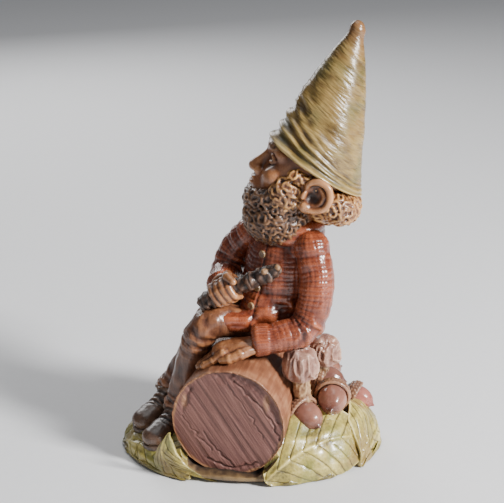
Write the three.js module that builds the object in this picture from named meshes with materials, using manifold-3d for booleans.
// A bearded gnome in a tall pointed hat, sitting across a sawn log on a mound of leaves,
// acorns and mushrooms. Every sculpted element is its own solid, bedded on its neighbours.
// Millimetres, +Z up. The gnome faces -Y, his left hand is on the +X side.
import * as THREE from "three";
import { mergeVertices } from "three/addons/utils/BufferGeometryUtils.js";
import Module from "manifold-3d";

const wasm = await Module();
wasm.setup();

// ---------------------------------------------------------------- driving dimensions
const BOND_GAP = 0.3; // glue line between one piece and the next
const FELT_THICKNESS = 1.5;
const FELT_INSET = 4; // felt edge, in from the mound's edge

const MOUND_HALF_X = 46;
const MOUND_HALF_Y = 62;
const MOUND_HEIGHT = 29;
const MOUND_LOW_SHARE = 0.5; // height of the low front of the mound, as a share of the high back
const LEAF_THICKNESS = 2.2;

const LOG_RADIUS = 27;
const LOG_LENGTH = 72;
const LOG_FACE = new THREE.Vector3(38, -11.5, 0); // middle of the sawn end, in plan
const LOG_TURN = THREE.MathUtils.degToRad(-13);

const ACORN_RADIUS = 6.6;
const ACORN_LENGTH = 17;
const MUSHROOM_CAP_RADIUS = 7.5;
const MUSHROOM_CAP_HEIGHT = 15;
const MUSHROOM_STEM_RADIUS = 3.6;

const BOOT_WIDTH = 13;
const BOOT_HEIGHT = 9;
const SOLE_THICKNESS = 2.4;
const LEG_RADIUS = 7;

const SEAT_HEIGHT = 55.6; // top of the log, where he sits
const TORSO_HEIGHT = 58;
const TORSO_HALF_WIDTH = 18;
const TORSO_DEPTH_SHARE = 0.8;
const TORSO_TURN = THREE.MathUtils.degToRad(49); // chest turned towards his left
const ARM_RADIUS = 8;
const STICK_RADIUS = 4.6;

const HEAD_CENTRE = new THREE.Vector3(-2, 25.6, 140);
const HEAD_TILT = THREE.MathUtils.degToRad(-26); // chin lifted
const SKULL = new THREE.Vector3(16.5, 20.5, 22);
const EAR_RADIUS = 8;
const HAT_HEIGHT = 68;
const HAT_HALF_WIDTH = 20.5;
const HAT_HALF_LENGTH = 24.6;
const HAT_TIP_RADIUS = 2.4;
const HAIR_RADIUS = 7;
const BEARD = new THREE.Vector3(16, 16.5, 14.5);

// Clearance heights that follow from the sizes above.
const BED = FELT_THICKNESS + BOND_GAP; // underside of the mound and the log
const LOG_AXIS_HEIGHT = SEAT_HEIGHT - LOG_RADIUS;
const LOG_DIRECTION = new THREE.Vector3(Math.cos(LOG_TURN), Math.sin(LOG_TURN), 0);

// ---------------------------------------------------------------- solids
// A closed three.js geometry as a solid that can be joined and cut.
function solidOf(geometry) {
  const bare = new THREE.BufferGeometry();
  bare.setAttribute("position", geometry.getAttribute("position").clone());
  if (geometry.index) bare.setIndex(geometry.index.clone());
  const merged = mergeVertices(bare, 1e-4);
  return new wasm.Manifold(
    new wasm.Mesh({
      numProp: 3,
      vertProperties: new Float32Array(merged.attributes.position.array),
      triVerts: new Uint32Array(merged.index.array),
    }),
  );
}

function geometryOf(solid) {
  const mesh = solid.getMesh();
  const geometry = new THREE.BufferGeometry();
  geometry.setAttribute("position", new THREE.BufferAttribute(mesh.vertProperties, 3));
  geometry.setIndex(new THREE.BufferAttribute(mesh.triVerts, 1));
  return geometry;
}

// The largest body of a solid: cutting can leave crumbs beside it.
function largestBody(solid) {
  return solid.decompose().reduce((a, b) => (a.volume() > b.volume() ? a : b));
}

const joined = (solids) => solids.reduce((a, b) => a.add(b));

const point = (x, y, z) => new THREE.Vector3(x, y, z);

// ---------------------------------------------------------------- shapes
// Each shape takes grow, the millimetres it is swollen by to cut its neighbours with a gap.

// An ellipsoid with half-sizes, turned and set at a place.
function ball(at, half, grow, turn = new THREE.Euler(), rings = 8) {
  const geometry = new THREE.SphereGeometry(1, rings * 2, rings);
  geometry.scale(half.x + grow, half.y + grow, half.z + grow);
  const place = new THREE.Matrix4().makeRotationFromEuler(turn).setPosition(at);
  return solidOf(geometry.applyMatrix4(place));
}

// A limb with a round section along a smooth curve. radii are spread evenly along it, and
// flat = { axis, share } squeezes the section along an axis.
function limb(through, radii, grow, { flat, sides = 9, steps = 7 } = {}) {
  const curve = new THREE.CatmullRomCurve3(through);
  const frames = curve.computeFrenetFrames(steps);
  const geometry = new THREE.CylinderGeometry(1, 1, 1, sides, steps);
  const place = geometry.getAttribute("position");
  for (let i = 0; i < place.count; i++) {
    const share = THREE.MathUtils.clamp(place.getY(i) + 0.5, 0, 1);
    const step = Math.round(share * steps);
    const along = share * (radii.length - 1);
    const low = Math.min(Math.floor(along), radii.length - 2);
    const radius = THREE.MathUtils.lerp(radii[low], radii[low + 1], along - low) + grow;
    const offset = frames.normals[step].clone().multiplyScalar(-place.getX(i) * radius);
    offset.addScaledVector(frames.binormals[step], place.getZ(i) * radius);
    if (flat) offset.addScaledVector(flat.axis, offset.dot(flat.axis) * (flat.share - 1));
    if (share === 0) offset.addScaledVector(frames.tangents[0], -grow);
    if (share === 1) offset.addScaledVector(frames.tangents[steps], grow);
    offset.add(curve.getPointAt(share));
    place.setXYZ(i, offset.x, offset.y, offset.z);
  }
  return upright(geometry);
}

// A solid whose faces point out, whichever way its mapping left them.
function upright(geometry) {
  const solid = solidOf(geometry);
  if (solid.volume() > 0) return solid;
  const order = geometry.index.array;
  for (let i = 0; i < order.length; i += 3) {
    [order[i + 1], order[i + 2]] = [order[i + 2], order[i + 1]];
  }
  return solidOf(geometry);
}

// A turned piece: a profile of [radius, height] pairs spun about Z.
function turned(profile, grow, sides = 14) {
  const heights = profile.map(([, height]) => height);
  const middle = (Math.min(...heights) + Math.max(...heights)) / 2;
  const outline = profile.map(([radius, height]) => {
    const wide = radius > 0 ? radius + grow : 0;
    return new THREE.Vector2(wide, height + Math.sign(height - middle) * grow);
  });
  const geometry = new THREE.LatheGeometry(outline, sides);
  geometry.rotateX(Math.PI / 2);
  return geometry;
}

// The turn that points +Z along a direction.
function pointing(direction) {
  const turn = new THREE.Quaternion().setFromUnitVectors(
    new THREE.Vector3(0, 0, 1),
    direction.clone().normalize(),
  );
  return new THREE.Matrix4().makeRotationFromQuaternion(turn);
}

function box(low, high) {
  const size = high.clone().sub(low);
  const geometry = new THREE.BoxGeometry(size.x, size.y, size.z);
  const middle = low.clone().add(high).multiplyScalar(0.5);
  return solidOf(geometry.translate(middle.x, middle.y, middle.z));
}

// ---------------------------------------------------------------- ground
function felt(grow) {
  const geometry = new THREE.CylinderGeometry(1, 1, 1, 40).rotateX(Math.PI / 2);
  const across = MOUND_HALF_X - FELT_INSET + grow;
  const along = MOUND_HALF_Y - FELT_INSET + grow;
  geometry.scale(across, along, FELT_THICKNESS + 2 * grow);
  return solidOf(geometry.translate(0, 0, FELT_THICKNESS / 2));
}

// Everything below a height.
function under(height) {
  const reach = 200;
  return box(point(-reach, -reach, -reach), point(reach, reach, height));
}

// The log lies along LOG_DIRECTION, with the sawn end at LOG_FACE. extra lengthens it forwards.
function logBody(grow, extra = 0) {
  const length = LOG_LENGTH + extra;
  const geometry = new THREE.CylinderGeometry(1, 1, 1, 32).rotateZ(-Math.PI / 2);
  geometry.scale(length + 2 * grow, LOG_RADIUS + grow, LOG_RADIUS + grow);
  geometry.rotateZ(LOG_TURN);
  const middle = LOG_FACE.clone().addScaledVector(LOG_DIRECTION, extra - length / 2);
  geometry.translate(middle.x, middle.y, LOG_AXIS_HEIGHT);
  return solidOf(geometry).subtract(under(BED - grow));
}

// Height share of the mound: low in front of the boots, full height behind.
function moundSlope(y) {
  const share = THREE.MathUtils.smoothstep(y, -MOUND_HALF_Y * 0.85, MOUND_HALF_Y * 0.4);
  return THREE.MathUtils.lerp(MOUND_LOW_SHARE, 1, share);
}

function dome(grow) {
  const sideProfile = [
    [0, 0],
    [1, 0],
    [1, 0.14],
    [0.96, 0.34],
    [0.87, 0.58],
    [0.7, 0.78],
    [0.4, 0.95],
    [0, 1],
  ];
  const outline = sideProfile.map(([radius, height]) => new THREE.Vector2(radius, height));
  const geometry = new THREE.LatheGeometry(outline, 28).rotateX(Math.PI / 2);
  const place = geometry.getAttribute("position");
  for (let i = 0; i < place.count; i++) {
    const y = place.getY(i) * (MOUND_HALF_Y + grow);
    const raise = place.getZ(i) > 0.01 ? grow : -grow;
    const z = place.getZ(i) * MOUND_HEIGHT * moundSlope(y) + raise;
    place.setXYZ(i, place.getX(i) * (MOUND_HALF_X + grow), y, BED + z);
  }
  return upright(geometry);
}

// The ground in front of the sawn end is cleared so that the whole face shows.
const CLEARED = 40;
const mound = (grow) => dome(grow).subtract(logBody(BOND_GAP - grow, CLEARED));

// A fallen leaf: a pointed oval in plan, pressed over the mound. at is its middle, heading the
// direction of its midrib in degrees.
function leaf({ at, heading, length, width }) {
  return (grow) => {
    const tip = length / 2 + grow;
    const bulge = width + 2 * grow;
    const outline = new THREE.Shape();
    outline.moveTo(-tip, 0);
    outline.quadraticCurveTo(0, -bulge, tip, 0);
    outline.quadraticCurveTo(0, bulge, -tip, 0);
    const tall = MOUND_HEIGHT * 2;
    const blade = new THREE.ExtrudeGeometry(outline, {
      depth: tall,
      bevelEnabled: false,
      curveSegments: 5,
    });
    blade.rotateZ(THREE.MathUtils.degToRad(heading)).translate(at[0], at[1], 0);
    const pressed = solidOf(blade).intersect(dome(LEAF_THICKNESS + BOND_GAP + grow));
    return pressed.subtract(logBody(BOND_GAP - grow, CLEARED)).subtract(under(BED - grow));
  };
}

// Middles are shares of the mound's half-sizes, so the leaves stay round its edge.
const onMound = (x, y) => [x * MOUND_HALF_X, y * MOUND_HALF_Y];
const leaves = {
  leaf_front_right: leaf({ at: onMound(0.62, 0.5), heading: 122, length: 50, width: 34 }),
  leaf_right: leaf({ at: onMound(0.1, 0.86), heading: 170, length: 42, width: 30 }),
  leaf_back_right: leaf({ at: onMound(-0.6, 0.66), heading: 215, length: 44, width: 32 }),
  leaf_back: leaf({ at: onMound(-0.84, 0.05), heading: 268, length: 46, width: 30 }),
  leaf_back_left: leaf({ at: onMound(-0.62, -0.62), heading: 310, length: 44, width: 32 }),
  leaf_front_left: leaf({ at: onMound(0.5, -0.7), heading: 40, length: 46, width: 34 }),
  leaf_left: leaf({ at: onMound(-0.04, -0.86), heading: 5, length: 42, width: 30 }),
  leaf_beside_log: leaf({ at: onMound(0.93, -0.42), heading: 76, length: 34, width: 16 }),
};

// ---------------------------------------------------------------- acorns and mushrooms
// Acorns lie pointing along direction, with the nut's middle at a place.
const acorns = {
  front: { at: point(23.5, 26.5, 25.5), direction: point(17, 13, -5), size: 1.06 },
  middle: { at: point(14, 39, 29.5), direction: point(1, -0.12, -0.16), size: 1.1 },
  upper: { at: point(-1.5, 38, 33.5), direction: point(0.2, 1, -0.12), size: 0.95 },
  rear: { at: point(-15, 38.5, 32), direction: point(-0.5, 1, 0.05), size: 0.85 },
  fallen: { at: point(-9, 54.5, 19.5), direction: point(0.35, 1, -0.5), size: 0.85 },
};

// Nut and cap profiles run from the stalk end at 0 to the point at 1.
function acornNut({ size }, grow) {
  const profile = [
    [0, 0.02],
    [0.62, 0.05],
    [0.95, 0.3],
    [1, 0.5],
    [0.86, 0.74],
    [0.5, 0.92],
    [0.14, 0.98],
    [0.1, 1.06],
    [0, 1.08],
  ];
  const scaled = profile.map(([radius, height]) => [
    radius * ACORN_RADIUS * size,
    (height - 0.5) * ACORN_LENGTH * size,
  ]);
  return turned(scaled, grow);
}

function acornCap({ size }, grow) {
  const wall = 1.3;
  const profile = [
    [0, -0.2],
    [0.16, -0.2],
    [0.18, -0.1],
    [0.66, -0.04],
    [0.98, 0.12],
    [1.02, 0.36],
    [0, 0.38],
  ];
  const scaled = profile.map(([radius, height]) => [
    radius > 0 ? radius * ACORN_RADIUS * size + wall : 0,
    (height - 0.5) * ACORN_LENGTH * size,
  ]);
  return turned(scaled, grow);
}

function lying(shape, acorn) {
  return (grow) => {
    const geometry = shape(acorn, grow).applyMatrix4(pointing(acorn.direction));
    return upright(geometry.translate(acorn.at.x, acorn.at.y, acorn.at.z));
  };
}

const mushrooms = {
  front: { foot: point(18, 25, 20), head: point(20, 23, 45), size: 1 },
  rear: { foot: point(-0.5, 29, 24), head: point(0.5, 35.8, 44), size: 0.9 },
};

function mushroomCap({ head, size }) {
  return (grow) => {
    const profile = [
      [0, -0.05],
      [0.5, -0.05],
      [0.86, 0.08],
      [1, 0.4],
      [0.92, 0.72],
      [0.66, 0.94],
      [0, 1],
    ];
    const scaled = profile.map(([radius, height]) => [
      radius * MUSHROOM_CAP_RADIUS * size,
      height * MUSHROOM_CAP_HEIGHT * size,
    ]);
    return upright(turned(scaled, grow).translate(head.x, head.y, head.z));
  };
}

function mushroomStem({ foot, head, size }) {
  const thick = MUSHROOM_STEM_RADIUS * size;
  const middle = foot.clone().lerp(head, 0.5);
  const inCap = head.clone().add(point(0, 0, 2));
  return (grow) => limb([foot, middle, inCap], [thick * 1.2, thick, thick], grow, { steps: 4, sides: 8 });
}

// ---------------------------------------------------------------- legs and boots
// hip, knee and ankle are joint centres; heel and toe are on the ground line of the boot.
const legs = {
  left: {
    hip: point(5, 3, 65),
    knee: point(12.5, -23, 66.5),
    shin: point(8, -31, 43),
    ankle: point(5.5, -36.5, 22),
    heel: point(4, -34, 11.5),
    toe: point(25.5, -49.5, 9.5),
  },
  right: {
    hip: point(-10, 4, 65),
    knee: point(-5, -19, 66),
    shin: point(-9, -30.5, 43),
    ankle: point(-10.5, -41, 24),
    heel: point(-12, -40, 13),
    toe: point(9.5, -55.5, 10.5),
  },
};

function trouserLeg({ hip, knee, shin, ankle }) {
  const radii = [1.2, 1.15, 1.06, 0.98, 0.9].map((share) => share * LEG_RADIUS);
  const thigh = hip.clone().lerp(knee, 0.55).add(point(0, 0, 3));
  return (grow) => limb([hip, thigh, knee, shin, ankle], radii, grow, { steps: 9 });
}

function sole({ heel, toe }) {
  const half = BOOT_WIDTH / 2;
  const length = toe.clone().sub(heel).length();
  const profile = [0.72, 0.95, 0.8, 1.1, 1, 0.6];
  return (grow) => {
    const flat = { axis: point(0, 0, 1), share: SOLE_THICKNESS / BOOT_WIDTH };
    const middle = heel.clone().lerp(toe, 0.5);
    const path = [heel, middle, toe].map((p) => p.clone().setZ(p.z - SOLE_THICKNESS / 2));
    const wide = profile.map((share) => share * half);
    const swell = 1 + (2 * grow) / SOLE_THICKNESS;
    flat.share *= swell;
    return limb(path, wide, grow, { flat, steps: Math.round(length / 4) });
  };
}

function boot({ heel, toe, ankle }) {
  const half = BOOT_WIDTH / 2;
  return (grow) => {
    const lift = point(0, 0, BOOT_HEIGHT / 2);
    const backOfFoot = heel.clone().lerp(toe, 0.1).add(lift);
    const instep = heel.clone().lerp(toe, 0.5).add(lift);
    const toeCap = toe.clone().lerp(heel, 0.06).add(point(0, 0, BOOT_HEIGHT * 0.4));
    const foot = limb(
      [backOfFoot, instep, toeCap],
      [half * 0.75, half, half * 0.95, half * 0.95, half * 0.5],
      grow,
      { flat: { axis: point(0, 0, 1), share: 0.76 } },
    );
    const top = ankle.clone().add(point(0, 0, 1));
    const shaft = limb([backOfFoot, top], [half * 0.95, half * 1.05], grow, { steps: 4 });
    return foot.add(shaft);
  };
}

// ---------------------------------------------------------------- torso, arms and hands
const SEAT = point(0, 10, SEAT_HEIGHT + BOND_GAP);
const TORSO_LEAN = point(-4, 4, 0); // how far the collar stands from over the seat

function torso(grow) {
  const profile = [
    [0, 0],
    [0.84, 0],
    [0.98, 0.12],
    [0.95, 0.35],
    [0.98, 0.6],
    [0.95, 0.75],
    [0.74, 0.88],
    [0.46, 0.96],
    [0, 1],
  ];
  const scaled = profile.map(([radius, height]) => [
    radius * TORSO_HALF_WIDTH,
    height * TORSO_HEIGHT,
  ]);
  const geometry = turned(scaled, grow, 16);
  geometry.scale(TORSO_DEPTH_SHARE, 1, 1).rotateZ(TORSO_TURN - Math.PI / 2);
  const place = geometry.getAttribute("position");
  for (let i = 0; i < place.count; i++) {
    const share = place.getZ(i) / TORSO_HEIGHT;
    const x = place.getX(i) + TORSO_LEAN.x * share;
    place.setXYZ(i, x, place.getY(i) + TORSO_LEAN.y * share, place.getZ(i));
  }
  return upright(geometry.translate(SEAT.x, SEAT.y, SEAT.z));
}

const arms = {
  left: {
    shoulder: point(9.5, 28, 107),
    bend: [point(15, 30.5, 89), point(18.5, 25.5, 70.5), point(22, 12, 66)],
    wrist: point(23, 1, 65),
  },
  right: {
    shoulder: point(-15.5, 0, 105),
    bend: [point(-19, -8, 95), point(-15.5, -12, 85.5), point(-8, -13.5, 84)],
    wrist: point(0.5, -14.5, 83.5),
  },
};

function sleeve({ shoulder, bend, wrist }) {
  const radii = [0.98, 1.04, 1, 1, 0.84, 0.8].map((share) => share * ARM_RADIUS);
  const cap = point(ARM_RADIUS, ARM_RADIUS, ARM_RADIUS).multiplyScalar(1.1);
  return (grow) => {
    const arm = limb([shoulder, ...bend, wrist], radii, grow, { steps: 9, sides: 10 });
    return arm.add(ball(shoulder, cap, grow, new THREE.Euler(), 8));
  };
}

const STICK_ENDS = [point(9, -26, 77.5), point(13.5, -5, 88), point(17.5, 14, 97)];

function stick(grow) {
  const radii = [0.7, 1.15, 0.9, 0.95, 0.85, 0.9, 0.8].map((share) => share * STICK_RADIUS);
  return limb(STICK_ENDS, radii, grow, { steps: 8, sides: 8 });
}

// The left hand lies flat over the log, its fingers curling down the far side.
function leftHand(grow) {
  const palm = [point(23, 2, 63.5), point(23, -8, 62), point(22.5, -15, 59.5)];
  const fingers = [point(22.5, -14, 59.8), point(22, -20, 57), point(21.5, -24.5, 52.5)];
  const flat = { axis: point(0, 0, 1), share: 0.66 };
  const thumb = [point(27, -3, 62.5), point(30.5, -8, 61), point(31, -13, 59)];
  return joined([
    limb(palm, [5, 6.4, 6.6], grow, { flat, steps: 4 }),
    limb(fingers, [6.6, 6.3, 5], grow, { flat: { ...flat, share: 0.6 }, steps: 4 }),
    limb(thumb, [2.6, 2.5, 1.8], grow, { steps: 3, sides: 6 }),
  ]);
}

// The right hand is a fist round the stick.
function rightHand(grow) {
  const fist = point(11.2, -14.4, 83.4);
  const wrist = limb([arms.right.wrist, fist], [5, 5.4], grow, { steps: 3 });
  const turn = new THREE.Euler(THREE.MathUtils.degToRad(26), 0, 0);
  return wrist.add(ball(fist, point(8.6, 7.4, 8), grow, turn, 7));
}

// ---------------------------------------------------------------- head
// Head pieces are made in the head's own frame, which is tipped back about his neck.
const headPlace = new THREE.Matrix4()
  .makeRotationX(HEAD_TILT)
  .setPosition(HEAD_CENTRE);
const inHead = (x, y, z) => point(x, y, z).applyMatrix4(headPlace);
const headTurn = new THREE.Euler(HEAD_TILT, 0, 0);

function head(grow) {
  const jaw = point(SKULL.x * 0.76, SKULL.y * 0.62, SKULL.z * 0.62);
  const bridge = inHead(0, -SKULL.y + 0.2, 1);
  const nostrils = inHead(0, -SKULL.y - 3.4, -7.5);
  return joined([
    ball(HEAD_CENTRE, SKULL, grow, headTurn),
    ball(inHead(0, -SKULL.y * 0.4, -SKULL.z * 0.5), jaw, grow, headTurn, 8),
    limb([bridge, nostrils], [1.8, 3.5], grow, { steps: 3, sides: 8 }),
    limb([point(-4, 17, 112), point(-2, 25, 128)], [10, 10], grow, { steps: 2 }),
  ]);
}

function ear(side) {
  const middle = inHead(side * (SKULL.x + 1.2), 6.5, -4);
  const hollow = inHead(side * (SKULL.x + 6), 3.5, -3.5);
  const turn = new THREE.Euler(HEAD_TILT, 0, side * THREE.MathUtils.degToRad(-22));
  return (grow) => {
    const shell = ball(middle, point(3.6, EAR_RADIUS * 0.95, EAR_RADIUS * 1.06), grow, turn, 7);
    const dish = point(4.6 - grow, EAR_RADIUS * 0.6 - grow, EAR_RADIUS * 0.66 - grow);
    return shell.subtract(ball(hollow, dish, 0, turn, 7));
  };
}

function eyebrow(side) {
  const arch = [
    inHead(side * 2.6, -SKULL.y - 0.5, 4),
    inHead(side * 7, -SKULL.y + 0.6, 5.8),
    inHead(side * 11.5, -SKULL.y + 4.4, 3.8),
  ];
  return (grow) => limb(arch, [1.3, 2, 1.1], grow, { steps: 3, sides: 6 });
}

// The hat is a cone that leans forward of the head's own upright.
const HAT_FOOT = point(0, 2.4, 4.6);
const HAT_LEAN = point(-4, -11.8, 0);
function hat(grow) {
  const steps = 7;
  const geometry = new THREE.CylinderGeometry(1, 1, 1, 22, steps).rotateX(Math.PI / 2);
  const place = geometry.getAttribute("position");
  const brimTilt = 0.12; // front of the brim stands higher than the back
  for (let i = 0; i < place.count; i++) {
    const share = place.getZ(i) + 0.5;
    const full = 1 + 0.04 * Math.sin(Math.PI * share) - share;
    const halfX = HAT_HALF_WIDTH * full + HAT_TIP_RADIUS * share + grow;
    const halfY = HAT_HALF_LENGTH * full + HAT_TIP_RADIUS * share + grow;
    const x = place.getX(i) * halfX;
    const y = place.getY(i) * halfY;
    const end = grow * Math.sign(share - 0.5);
    const z = share * HAT_HEIGHT - y * brimTilt * (1 - share) + end;
    place.setXYZ(i, x + HAT_LEAN.x * share, y + HAT_LEAN.y * share, z);
  }
  geometry.translate(HAT_FOOT.x, HAT_FOOT.y, HAT_FOOT.z).applyMatrix4(headPlace);
  return upright(geometry);
}

// Hair rolls round the back of the head, below the hat, from ear to ear.
function hair(grow) {
  const behindEar = SKULL.x + 0.5;
  const back = SKULL.y + 2.8;
  const roll = [
    inHead(behindEar, 11, -8),
    inHead(behindEar * 0.72, back * 0.86, -8.5),
    inHead(0, back, -8.8),
    inHead(-behindEar * 0.72, back * 0.86, -8.5),
    inHead(-behindEar, 11, -8),
  ];
  return limb(roll, [0.8, 1, 1.06, 1, 0.8].map((share) => share * HAIR_RADIUS), grow, {
    steps: 12,
  });
}

function sideburn(side) {
  const middle = inHead(side * (SKULL.x - 2.6), -6.5, -10.5);
  return (grow) => ball(middle, point(5, 8, 8.6), grow, headTurn, 7);
}

const BEARD_CENTRE = point(-1, 12, 119);
function beard(grow) {
  const chin = ball(inHead(0, -15.5, -21), point(9.5, 6.5, 6), grow, headTurn, 6);
  return chin.add(ball(BEARD_CENTRE, BEARD, grow));
}

// ---------------------------------------------------------------- materials
function stain(colour, roughness) {
  return new THREE.MeshStandardMaterial({ color: colour, roughness, metalness: 0 });
}

const finishes = {
  felt: stain(0x2f3a2a, 0.95),
  sawn: stain(0x7c4a42, 0.6),
  leafGreen: stain(0x8d8f3c, 0.45),
  soil: stain(0x4a3826, 0.8),
  nut: stain(0x7a4c41, 0.4),
  nutCap: stain(0x8f6a4e, 0.6),
  mushroom: stain(0x6d463b, 0.5),
  mushroomStem: stain(0xb58a55, 0.6),
  leather: stain(0x2f221b, 0.5),
  trousers: stain(0x6b3f2a, 0.55),
  coat: stain(0x9c4527, 0.45),
  skin: stain(0x9a5a34, 0.4),
  hairBrown: stain(0x7d5638, 0.55),
  hatGreen: stain(0x85784a, 0.45),
  stick: stain(0x3f2c22, 0.55),
};

// ---------------------------------------------------------------- assembly
// Each piece is trimmed by those listed before it, so what beds on another yields to it.
const recipes = [
  ["felt_pad", finishes.felt, felt],
  ["log", finishes.sawn, logBody],
];
for (const [name, mushroom] of Object.entries(mushrooms)) {
  recipes.push([`mushroom_cap_${name}`, finishes.mushroom, mushroomCap(mushroom)]);
  recipes.push([`mushroom_stem_${name}`, finishes.mushroomStem, mushroomStem(mushroom)]);
}
for (const [name, acorn] of Object.entries(acorns)) {
  recipes.push([`acorn_nut_${name}`, finishes.nut, lying(acornNut, acorn)]);
  recipes.push([`acorn_cap_${name}`, finishes.nutCap, lying(acornCap, acorn)]);
}
for (const [side, leg] of Object.entries(legs)) {
  recipes.push([`boot_sole_${side}`, finishes.leather, sole(leg)]);
  recipes.push([`boot_${side}`, finishes.leather, boot(leg)]);
}
recipes.push(
  ["stick", finishes.stick, stick],
  ["hand_left", finishes.skin, leftHand],
  ["hand_right", finishes.skin, rightHand],
  ["head", finishes.skin, head],
  ["ear_left", finishes.skin, ear(1)],
  ["ear_right", finishes.skin, ear(-1)],
  ["hat", finishes.hatGreen, hat],
  ["eyebrow_left", finishes.hairBrown, eyebrow(1)],
  ["eyebrow_right", finishes.hairBrown, eyebrow(-1)],
  ["torso", finishes.coat, torso],
  ["hair", finishes.hairBrown, hair],
  ["sideburn_left", finishes.hairBrown, sideburn(1)],
  ["sideburn_right", finishes.hairBrown, sideburn(-1)],
  ["beard", finishes.hairBrown, beard],
  ["sleeve_left", finishes.coat, sleeve(arms.left)],
  ["sleeve_right", finishes.coat, sleeve(arms.right)],
  ["trouser_leg_left", finishes.trousers, trouserLeg(legs.left)],
  ["trouser_leg_right", finishes.trousers, trouserLeg(legs.right)],
  ["mound", finishes.soil, mound],
);
for (const [name, pressed] of Object.entries(leaves)) {
  recipes.push([name, finishes.leafGreen, pressed]);
}

// Bounding boxes that miss each other need no cut.
function boxesMeet(a, b) {
  const first = a.boundingBox();
  const second = b.boundingBox();
  return [0, 1, 2].every((k) => first.min[k] < second.max[k] && second.min[k] < first.max[k]);
}

const group = new THREE.Group();
const placed = [];
for (const [name, material, shape] of recipes) {
  let solid = shape(0);
  for (const cutter of placed) {
    if (boxesMeet(solid, cutter)) solid = solid.subtract(cutter);
  }
  placed.push(shape(BOND_GAP));
  const mesh = new THREE.Mesh(geometryOf(largestBody(solid)), material);
  mesh.name = name;
  group.add(mesh);
}

// The origin is the middle of the footprint, on the surface he stands on.
const bounds = new THREE.Box3().setFromObject(group);
const middle = bounds.getCenter(new THREE.Vector3());
for (const mesh of group.children) mesh.position.set(-middle.x, -middle.y, -bounds.min.z);

export default group;
